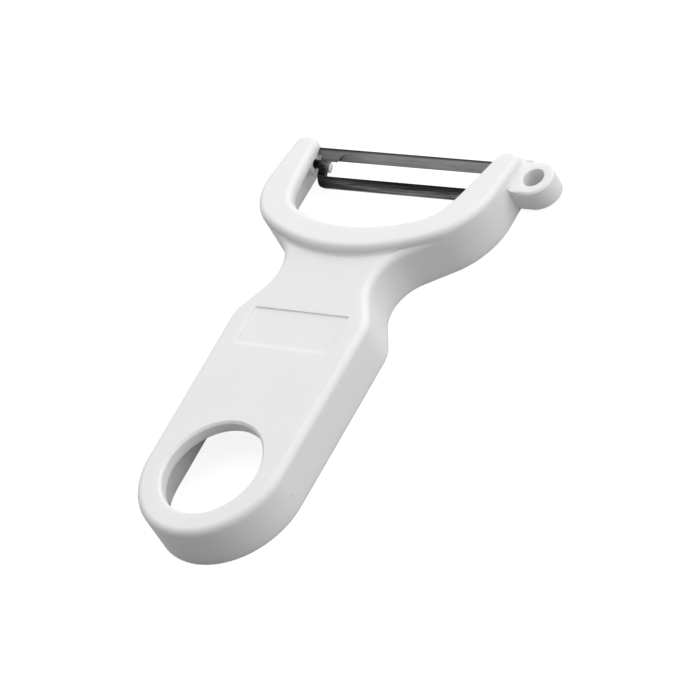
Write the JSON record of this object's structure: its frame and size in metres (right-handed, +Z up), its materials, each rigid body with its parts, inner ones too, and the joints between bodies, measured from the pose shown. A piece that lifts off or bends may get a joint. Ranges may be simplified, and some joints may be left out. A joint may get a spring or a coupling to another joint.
{
  "type": "vegetable peeler",
  "caption": "Y-shaped vegetable peeler: hollow moulded handle with a hanging hole, a swinging slotted blade between two arms, and an eyelet for potato eyes.",
  "frame": {"origin": "centre of the bounding box's bottom face, on the plane that the handle's rim rests on", "axes": "+Y from the grip towards the blade, +Z up out of the top face, +X towards the eyelet"},
  "size_m": [0.0694, 0.1094, 0.0129],
  "materials": {
    "handle": "satin white moulded plastic",
    "blade": "dark ground steel"
  },
  "bodies": {
    "handle": {"handle": "handle"},
    "blade": {"blade": "blade"}
  },
  "joints": [
    {"name": "blade_swing", "type": "hinge", "parent": "handle", "child": "blade", "pos_m": [-0.0043, 0.04926, 0.0053], "axis": [-1, 0, 0], "range_deg": [0, 52]}
  ]
}
